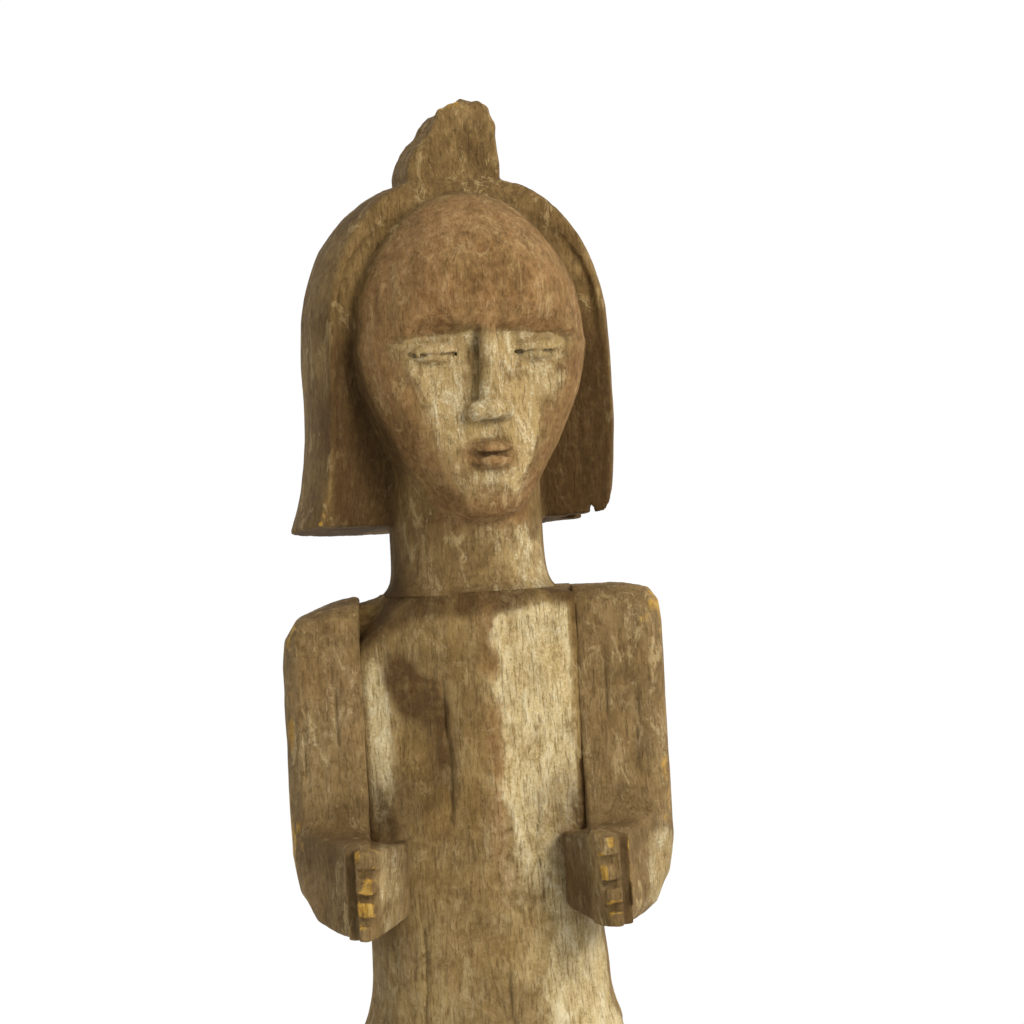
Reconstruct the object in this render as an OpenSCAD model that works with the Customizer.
// Standing carved ancestor figure, put together from carved blocks with tenons, dowels and pegs.
// Millimetres. The figure faces -Y, +Z is up, and the origin is the middle of the base's underside.

/* [Heights, from the bottom up] */
// Height of the display base
base_h = 36; // [24:1:50]
// Height of the legs and hips, soles to waist seam
legs_h = 178; // [160:1:230]
// Height of the trunk, waist seam to the foot of the neck
trunk_h = 202; // [165:1:245]
// Free height of the neck below the coiffure
neck_h = 30; // [22:1:44]
// Height of the head, coiffure's lower edge to the top of the cap
head_h = 156; // [130:1:188]
// Height of the crest above the cap
crest_h = 35; // [18:1:45]

/* [Head] */
// Width of the coiffure at its widest round part
cap_w = 139; // [120:1:160]
// How far the lower end of the right flap flares out
flap_flare_right = 9; // [-6:0.5:10]
// How far the lower end of the left flap flares out; it leans in where this is negative
flap_flare_left = -5; // [-6:0.5:10]
// How far the lower edge of the coiffure flares out behind
flap_flare_back = 4; // [0:0.5:8]
// How far the rim of the coiffure stands in front of the neck's axis
rim_front = 30; // [22:1:40]
// How far the back of the coiffure stands behind the neck's axis
cap_back = 62; // [52:1:74]
// Depth of the hollow between each flap's edge and the neck
flap_hollow = 26; // [10:1:34]
// Width of the face across the brows
face_w = 108; // [92:1:116]
// How far the forehead stands in front of the neck's axis
forehead_front = 61; // [52:1:70]
// How far the face plane lies behind the forehead
face_hollow = 13; // [4:1:18]
// Width of the crest from side to side
crest_w = 46; // [30:1:54]
// Length of the crest from front to back
crest_l = 34; // [24:1:40]
// Turn of the head towards the figure's left
head_turn = 14; // [-15:1:18]
// Diameter of the neck
neck_d = 70; // [60:1:76]

/* [Trunk] */
// Middle of the figure to the right arm's seat
chest_right = 51; // [44:1:54]
// Middle of the figure to the left arm's seat
chest_left = 46; // [42:1:54]
// How far the keel lies to the left of the figure's middle
keel_side = 7; // [-8:1:10]
// Width of the belly below the hands
waist_w = 106; // [94:1:116]
// How far the trunk spreads on each side from the belly down to the waist seam
waist_spread = 10; // [0:1:12]
// How far the chest stands in front of the neck's axis at the arm seats
chest_front = 31; // [26:1:36]
// How far the keel stands in front of the chest at the arm seats
keel_h = 14; // [0:1:18]
// How far the belly stands in front of the neck's axis
belly_front = 46; // [40:1:54]
// How far the back stands behind the neck's axis
back_depth = 42; // [36:1:50]

/* [Arms] */
// Width of the right arm slab
arm_w_right = 34; // [28:1:42]
// Width of the left arm slab
arm_w_left = 38; // [30:1:44]
// Height of each arm, shoulder to the underside of the hand
arm_h = 148; // [128:1:168]
// Height of the forearm and hand
hand_h = 44; // [38:1:54]
// How far the hands reach in front of the neck's axis
hand_reach = 72; // [62:1:78]
// Front of the upper arm in front of the neck's axis
arm_front = 34; // [28:1:40]
// Back of the upper arm behind the neck's axis
arm_back = 26; // [20:1:34]
// Middle of the figure to the inner edge of each hand, where it meets the trunk
hand_in = 34; // [28:1:40]
// Middle of the figure to the inner edge of the finger ridge
finger_in = 47; // [46:1:52]
// Width of the ridge that the fingers are cut into
finger_w = 10; // [8:1:12]
// Width of the front of each hand
hand_w = 17.5; // [15:0.5:22]
// Width of the groove beside the fingers
finger_groove = 3; // [1.5:0.5:4]
// Depth of the cuts between the fingers
finger_cut = 3; // [1:0.5:5]

/* [Hips, legs and base] */
// Width of the hips
hips_w = 132; // [120:1:150]
// How far the buttocks stand behind the neck's axis
buttocks = 60; // [50:1:70]
// Distance between the middles of the two legs
stance = 66; // [60:1:76]
// Length of each foot
foot_l = 84; // [68:1:92]
// Width of the base
base_w = 190; // [186:1:240]
// Depth of the base
base_d = 160; // [156:1:200]
// Width of the step round the top of the base
base_step = 6; // [2:1:10]

/* [Joinery] */
// Diameter of the neck tenon
neck_tenon_d = 44; // [34:1:50]
// Length of the neck tenon
neck_tenon_l = 34; // [24:1:42]
// Diameter of the waist tenon
waist_tenon_d = 42; // [30:1:50]
// Length of the waist tenon
waist_tenon_l = 30; // [22:1:38]
// Diameter of the arm dowels
arm_dowel_d = 10; // [7:0.5:13]
// How far each arm dowel goes into the trunk, and into the arm
arm_dowel_bite = 18; // [12:1:22]
// Height between the two dowels of one arm
arm_dowel_step = 58; // [44:1:72]
// Diameter of the locking pegs
peg_d = 8; // [6:0.5:10]
// Diameter of the foot dowels
foot_dowel_d = 10; // [7:0.5:12]
// How far each foot dowel goes into the base, and into the foot
foot_dowel_bite = 22; // [14:1:30]
// Clearance round tenons, dowels and pegs, on the radius
fit_gap = 0.05; // [0.02:0.01:0.3]
// Gap left at the end of each blind hole
end_gap = 1.5; // [0.5:0.5:3]
// Gap between two carved blocks where they meet side to side
seam_gap = 0.2; // [0.1:0.1:0.6]

/* [Fineness] */
// Sides of the carved cross-sections
carved_sides = 44; // [24:4:56]

/* [Hidden] */
$fn = 64;

hip_z = base_h + legs_h;
shoulder_z = hip_z + trunk_h;
chin_z = shoulder_z + neck_h;
cap_z = chin_z + head_h;
arm_z = shoulder_z;
arm_low_z = arm_z - arm_h;
// Height of the upper arm dowels below the foot of the neck, clear of the neck tenon's hole
arm_dowel_drop = neck_tenon_l + end_gap + arm_dowel_d;
arm_dowel_y = -4;
arm_dowel_z = [for (i = [0, 1]) shoulder_z - arm_dowel_drop - i * arm_dowel_step];
neck_peg_z = shoulder_z - neck_tenon_l / 2;
waist_peg_z = hip_z - waist_tenon_l / 2;
// How far the pegs reach past the neck's axis, and how far their ends lie inside the surface
peg_past = peg_d;
peg_sunk = 3;
neck_peg_back = back_depth - peg_sunk;
waist_peg_back = buttocks - peg_sunk - 4;
// How far a peg's hole runs on past the surface
cut_past = 30;
cap_half = cap_w / 2;
// Half width of the body at the waist seam
seam_half = waist_w / 2 + waist_spread;
// Where the coiffure starts to round over, as a share of the head's height, and how full it is
cap_round_at = 0.49;
cap_fullness = 2.3;
// How far up the flaps flare out, as a share of the head's height
flare_up = 0.3;
// How far the crest's root runs down into the head
crest_sunk = 30;
// Share of the crest's length that lies behind the neck's axis
crest_behind = 0.55;
// How far the neck's round core runs up into the head, as a share of the head's height
neck_core = 0.3;
// Overlap of shapes that are carved from one block
lap = 1;
leg_x = stance / 2;
// Place of the foot dowels behind the neck's axis, and of the toes in front of it
ankle_y = 6;
toes_front = 52;
// Places on the face, as shares of the head's height above the chin
brow_at = 0.57;
eye_at = 0.50;
nose_at = 0.285;
mouth_at = 0.19;
bark = "#7d6440";
chest_wood = "#a98f5c";
old_wood = "#6b5334";
dowel_wood = "#b08a52";
stained_wood = "#3b2f25";

function seat_x(side) = (side > 0 ? chest_left : chest_right) + seam_gap;

function arm_w(side) = side > 0 ? arm_w_left : arm_w_right;

// ---- Lofted carving: every cross-section is a row of
// [height, middle x, half width, front, back, squareness in front, squareness behind,
// height of the keel, place of the keel as a share of the half width]

function signed_power(v, p) = sign(v) * pow(abs(v), p);

function ring_point(row, a) =
    let (
        square_off = sin(a) < 0 ? row[5] : row[6],
        x = signed_power(cos(a), 2 / square_off),
        reach = pow(abs(sin(a)), 2 / square_off),
        crown = row[8],
        keel = row[7] * (1 - abs(x - crown) / (1 + abs(crown))) * min(1, 4 * reach)
    )
    [row[1] + row[2] * x, sin(a) < 0 ? -row[3] * reach - keel : row[4] * reach, row[0]];

function ring(row, sides) = [for (j = [0 : sides - 1]) ring_point(row, 360 * (j + 0.5) / sides)];

// Smooth curve through a list of rows, at place t between the rows
function blend_row(rows, t) =
    let (
        last = len(rows) - 1,
        i = min(floor(t), last - 1),
        f = t - i,
        a = rows[max(i - 1, 0)],
        b = rows[i],
        c = rows[i + 1],
        d = rows[min(i + 2, last)]
    )
    (2 * b + (c - a) * f + (2 * a - 5 * b + 4 * c - d) * f * f + (3 * b - a - 3 * c + d) * f * f * f) / 2;

module loft(rows, steps = 3, sides = carved_sides) {
    levels = (len(rows) - 1) * steps;
    rings = [for (k = [0 : levels]) ring(blend_row(rows, k / steps), sides)];
    walls = [for (k = [0 : levels - 1], j = [0 : sides - 1]) [
        k * sides + j,
        (k + 1) * sides + j,
        (k + 1) * sides + (j + 1) % sides,
        k * sides + (j + 1) % sides,
    ]];
    foot = [for (j = [0 : sides - 1]) j];
    top = [for (j = [0 : sides - 1]) levels * sides + sides - 1 - j];
    polyhedron([for (r = rings) each r], concat([foot], walls, [top]));
}

// One closed skin round everything that is carved from one block
module one_block() {
    resize([0, 0, 0]) union() children();
}

// ---- Head

function cap_share(s) = pow(max(0, 1 - pow(max(0, s), cap_fullness)), 1 / cap_fullness);

function cap_row(s) =
    let (
        up = (s - cap_round_at) / (1 - cap_round_at),
        round_off = cap_share(up),
        flare = pow(max(0, 1 - s / flare_up), 2)
    )
    [
        chin_z + head_h * s,
        flare * (flap_flare_left - flap_flare_right) / 2,
        cap_half * round_off + flare * (flap_flare_left + flap_flare_right) / 2,
        rim_front * (0.35 + 0.65 * round_off),
        cap_back * round_off + flare * flap_flare_back,
        s < 0.6 ? 5 : 3,
        2.3,
        -flap_hollow * max(0, 1 - s * s * 1.2),
        0,
    ];

module coiffure() {
    loft([for (s = [0, 0.12, flare_up, cap_round_at, 0.64, 0.78, 0.88, 0.95, 0.99]) cap_row(s)], 2);
}

module face_block() {
    half = face_w / 2;
    plane = forehead_front - face_hollow;
    loft([
        [chin_z, 0, 0.24 * half, plane - 6, 0, 2.2, 2, 0, 0],
        [chin_z + 0.06 * head_h, 0, 0.42 * half, plane, 5, 2.4, 2, 0, 0],
        [chin_z + 0.20 * head_h, 0, 0.66 * half, plane, 10, 3, 2, 0, 0],
        [chin_z + 0.38 * head_h, 0, 0.90 * half, plane - 2, 20, 3.4, 2, 0, 0],
        [chin_z + (brow_at - 0.04) * head_h, 0, half, plane, 20, 3, 2, 0, 0],
        [chin_z + brow_at * head_h, 0, half, forehead_front - 3, 20, 2.3, 2, 0, 0],
        [chin_z + 0.69 * head_h, 0, 0.97 * half, forehead_front, 20, 2.1, 2, 0, 0],
        [chin_z + 0.81 * head_h, 0, 0.80 * half, 0.88 * forehead_front, 20, 2.1, 2, 0, 0],
        [chin_z + 0.91 * head_h, 0, 0.50 * half, 0.62 * forehead_front, 15, 2.1, 2, 0, 0],
    ], 2);
}

module nose() {
    plane = forehead_front - face_hollow;
    hull() {
        translate([-3, -plane - 4, chin_z + (brow_at - 0.03) * head_h]) cube([6, 6, 2]);
        translate([-9, -plane - 10, chin_z + nose_at * head_h]) cube([18, 14, 4]);
    }
}

module closed_lids() {
    plane = forehead_front - face_hollow;
    for (side = [-1, 1])
        translate([side * 0.42 * face_w / 2, -plane + 5, chin_z + eye_at * head_h])
            rotate([0, 0, side * 14]) resize([20, 14, 9]) sphere(r = 10, $fn = 20);
}

module lips() {
    plane = forehead_front - face_hollow;
    translate([0, -plane + 3, chin_z + mouth_at * head_h]) rotate([90, 0, 0]) hull() {
        for (x = [-12, 12]) translate([x, 0, 0]) cylinder(h = 3, r = 1.5, $fn = 12);
        cylinder(h = 7, r = 5, $fn = 32);
    }
}

// The broken plate on top: its outline from in front, as shares of its width and height
crest_top = [
    [-0.49, 0.10], [-0.44, 0.28], [-0.32, 0.46], [-0.20, 0.62], [-0.10, 0.82], [0.03, 0.93],
    [0.20, 1.00], [0.33, 1.00], [0.42, 0.88], [0.48, 0.62], [0.50, 0.10],
];

module crest() {
    foot = [[0.44 * crest_w, -crest_sunk], [-0.44 * crest_w, -crest_sunk]];
    outline = concat([for (q = crest_top) [q[0] * crest_w, q[1] * crest_h]], foot);
    translate([0, crest_behind * crest_l, cap_z]) rotate([90, 0, 0])
        linear_extrude(crest_l) polygon(outline);
}

module head() {
    color(bark) difference() {
        union() {
            one_block() {
                rotate([0, 0, head_turn]) {
                    coiffure();
                    face_block();
                    nose();
                    closed_lids();
                    lips();
                    crest();
                }
                translate([0, 0, shoulder_z]) cylinder(h = neck_h + neck_core * head_h, d = neck_d);
            }
            translate([0, 0, shoulder_z - neck_tenon_l]) cylinder(h = neck_tenon_l + lap, d = neck_tenon_d);
        }
        neck_peg_hole();
    }
}

// ---- Trunk

module trunk_block() {
    // the arm seats are cut back into the chest's sides by the corner's depth
    corner = 1.5;
    half = (chest_left + chest_right) / 2 + corner;
    off = (chest_left - chest_right) / 2;
    crown = (keel_side - off) / half;
    taper = seam_half - 0.75 * waist_spread;
    loft([
        [hip_z, 0, seam_half, belly_front - 2, back_depth + 8, 2.3, 2.3, 0, 0],
        [hip_z + 0.08 * trunk_h, 0, taper, belly_front, back_depth + 3, 2.3, 2.3, 0, 0],
        [hip_z + 0.18 * trunk_h, 0, waist_w / 2, belly_front, back_depth, 2.4, 2.3, 0, 0],
        [hip_z + 0.36 * trunk_h, off / 2, half, belly_front - 4, back_depth, 2.8, 2.5, 0.2 * keel_h, crown],
        [hip_z + 0.56 * trunk_h, off, half, chest_front, back_depth, 4.5, 3, keel_h, crown],
        [hip_z + 0.78 * trunk_h, off, half, chest_front, back_depth, 4.5, 3, keel_h, crown],
        [hip_z + 0.93 * trunk_h, off, half, chest_front - 1, back_depth - 2, 4.5, 3, 0.9 * keel_h, crown],
        [hip_z + trunk_h, off, 0.85 * half, chest_front - 5, back_depth - 8, 3, 3, 0.5 * keel_h, crown],
    ], 3);
}

module arm_seats() {
    deep = belly_front + keel_h;
    for (side = [-1, 1])
        mirror([side < 0 ? 1 : 0, 0, 0])
            translate([seat_x(side) - seam_gap, -deep, arm_low_z - lap])
                cube([arm_w(side), deep + back_depth + lap, trunk_h]);
}

module torso() {
    color(chest_wood) difference() {
        union() {
            one_block() difference() {
                trunk_block();
                arm_seats();
            }
            translate([0, 0, hip_z - waist_tenon_l]) cylinder(h = waist_tenon_l + lap, d = waist_tenon_d);
        }
        translate([0, 0, shoulder_z - neck_tenon_l - end_gap])
            cylinder(h = neck_tenon_l + end_gap + lap, d = neck_tenon_d + 2 * fit_gap);
        neck_peg_hole();
        waist_peg_hole();
        for (side = [-1, 1]) arm_dowel_holes(side);
    }
}

// ---- Arms, made on the figure's left (+X) and mirrored for the right

function mid(a, b, t) = a + (b - a) * t;

// Side view of the arm, front to the left; inset shrinks it and taper draws the hand back
function slab_outline(inset, taper) =
    let (
        front = -arm_front + inset,
        back = arm_back - inset,
        top = arm_z - inset,
        low = arm_low_z + 0.5 * inset,
        shelf = arm_low_z + hand_h - 0.5 * inset,
        reach = -hand_reach + taper
    )
    [
        [back - 14, top],
        [front + 12, top - 1],
        [front, top - 10],
        [front, shelf + 14],
        [mid(front, reach, 0.15), shelf + 5],
        [mid(front, reach, 0.40), shelf],
        [mid(front, reach, 0.92), shelf - 1],
        [reach, shelf - 4],
        [reach, low + 8],
        [mid(front, reach, 0.90), low + 2],
        [front, low],
        [back - 26, low + 10],
        [back - 6, low + 34],
        [back, low + 54],
        [back, top - 16],
        [back - 5, top - 4],
    ];

// Each step outwards across the slab: [share of the way past the hand, inset, taper of the hand]
slab_steps = [[0, 0, 0], [0.5, 3, 17], [0.85, 9, 34], [1, 17, 46]];

module arm_slab(side) {
    seat = seat_x(side);
    hand_out = finger_in + hand_w;
    past = seat + arm_w(side) - hand_out;
    across = concat([seat], [for (s = slab_steps) hand_out + s[0] * past]);
    outline = concat([slab_outline(0, 0)], [for (s = slab_steps) slab_outline(s[1], s[2])]);
    n = len(outline[0]);
    last = len(slab_steps);
    points = [for (k = [0 : last], p = outline[k]) [across[k], p[0], p[1]]];
    walls = [for (k = [0 : last - 1], j = [0 : n - 1])
        [k * n + j, (k + 1) * n + j, (k + 1) * n + (j + 1) % n, k * n + (j + 1) % n]];
    inner = [for (j = [0 : n - 1]) j];
    outer = [for (j = [0 : n - 1]) last * n + n - 1 - j];
    polyhedron(points, concat([inner], walls, [outer]));
}

// How far the inner side of the hand lies inside the hand's top and underside
wedge_in = 2.5;

module hand_wedge(side) {
    hand_out = finger_in + hand_w;
    plan = [
        [finger_in, -hand_reach],
        [hand_out - lap, -hand_reach],
        [hand_out - lap, -arm_front],
        [seat_x(side) + lap, -arm_front],
        [hand_in, -belly_front + 5],
        [hand_in, -belly_front - 4],
    ];
    translate([0, 0, arm_low_z + wedge_in]) linear_extrude(hand_h - 2 * wedge_in) polygon(plan);
}

fingers = 4;
finger_gap = 2;

module finger_cuts() {
    front = -hand_reach - lap;
    translate([finger_in + finger_w, front, arm_low_z - lap])
        cube([finger_groove, 2 * finger_cut + lap, hand_h + 2 * lap]);
    for (i = [1 : fingers - 1])
        translate([0, front, arm_low_z + i * hand_h / fingers - finger_gap / 2])
            cube([finger_in + finger_w + lap, finger_cut + lap, finger_gap]);
}

module arm(side) {
    color(old_wood) difference() {
        mirror([side < 0 ? 1 : 0, 0, 0]) one_block() difference() {
            union() {
                arm_slab(side);
                hand_wedge(side);
            }
            finger_cuts();
        }
        arm_dowel_holes(side);
    }
}

module right_arm() {
    arm(-1);
}

module left_arm() {
    arm(1);
}

// ---- Hips and legs

module pelvis() {
    half = hips_w / 2;
    loft([
        [hip_z - 0.38 * legs_h, 0, 0.78 * half, 30, 40, 2.4, 2.4, 0, 0],
        [hip_z - 0.28 * legs_h, 0, 0.96 * half, 38, buttocks - 4, 2.4, 2.3, 0, 0],
        [hip_z - 0.17 * legs_h, 0, half, 43, buttocks, 2.3, 2.2, 0, 0],
        [hip_z - 0.08 * legs_h, 0, half - 1, belly_front - 3, buttocks - 3, 2.3, 2.3, 0, 0],
        [hip_z, 0, seam_half, belly_front - 4, back_depth + 7, 2.3, 2.3, 0, 0],
    ], 3);
}

module leg(side) {
    knee_front = 44;
    x = side * leg_x;
    heel = foot_l - toes_front;
    loft([
        [base_h, x, 18, toes_front - 2, heel, 2.6, 2.4, 0, 0],
        [base_h + 0.07 * legs_h, x, 18, toes_front - 6, heel - 1, 2.4, 2.4, 0, 0],
        [base_h + 0.13 * legs_h, x, 16, 24, heel - 5, 2.2, 2.4, 0, 0],
        [base_h + 0.20 * legs_h, x, 16, 12, heel - 3, 2.2, 2.2, 0, 0],
        [base_h + 0.34 * legs_h, x, 25, 16, heel + 10, 2.2, 2.2, 0, 0],
        [base_h + 0.47 * legs_h, x, 22, 34, 22, 2.2, 2.2, 0, 0],
        [base_h + 0.56 * legs_h, x, 23, knee_front, 20, 2.2, 2.2, 0, 0],
        [base_h + 0.70 * legs_h, x, 30, 38, 40, 2.2, 2.2, 0, 0],
        [base_h + 0.80 * legs_h, x * 0.9, 31, 34, 44, 2.2, 2.2, 0, 0],
    ], 2, 28);
}

module hips_and_legs() {
    color(old_wood) difference() {
        one_block() {
            pelvis();
            for (side = [-1, 1]) leg(side);
        }
        translate([0, 0, hip_z - waist_tenon_l - end_gap])
            cylinder(h = waist_tenon_l + end_gap + lap, d = waist_tenon_d + 2 * fit_gap);
        waist_peg_hole();
        foot_dowel_shapes(fit_gap, end_gap);
    }
}

// ---- Base

module base() {
    step_z = base_h - base_step;
    color(stained_wood) difference() {
        union() {
            translate([-base_w / 2, -base_d / 2, 0]) cube([base_w, base_d, step_z]);
            translate([-base_w / 2 + base_step, -base_d / 2 + base_step, 0])
                cube([base_w - 2 * base_step, base_d - 2 * base_step, base_h]);
        }
        foot_dowel_shapes(fit_gap, end_gap);
    }
}

// ---- Pegs and dowels, and the holes they sit in

module peg(z, back, gap, end) {
    translate([0, -peg_past - end, z]) rotate([-90, 0, 0])
        cylinder(h = back + peg_past + end, r = peg_d / 2 + gap);
}

module neck_peg_hole() {
    peg(neck_peg_z, back_depth + cut_past, fit_gap, end_gap);
}

module waist_peg_hole() {
    peg(waist_peg_z, buttocks + cut_past, fit_gap, end_gap);
}

module neck_peg() {
    color(dowel_wood) peg(neck_peg_z, neck_peg_back, 0, 0);
}

module waist_peg() {
    color(dowel_wood) peg(waist_peg_z, waist_peg_back, 0, 0);
}

module arm_dowel_shapes(side, gap, end) {
    reach = arm_dowel_bite + end;
    for (z = arm_dowel_z)
        translate([side * (seat_x(side) - seam_gap / 2) - reach, arm_dowel_y, z])
            rotate([0, 90, 0]) cylinder(h = 2 * reach, r = arm_dowel_d / 2 + gap);
}

module arm_dowel_holes(side) {
    arm_dowel_shapes(side, fit_gap, end_gap);
}

module right_arm_dowels() {
    color(dowel_wood) arm_dowel_shapes(-1, 0, 0);
}

module left_arm_dowels() {
    color(dowel_wood) arm_dowel_shapes(1, 0, 0);
}

module foot_dowel_shapes(gap, end) {
    reach = foot_dowel_bite + end;
    for (side = [-1, 1])
        translate([side * leg_x, ankle_y, base_h - reach])
            cylinder(h = 2 * reach, r = foot_dowel_d / 2 + gap);
}

module foot_dowels() {
    color(dowel_wood) foot_dowel_shapes(0, 0);
}

base();
hips_and_legs();
torso();
head();
right_arm();
left_arm();
neck_peg();
waist_peg();
right_arm_dowels();
left_arm_dowels();
foot_dowels();
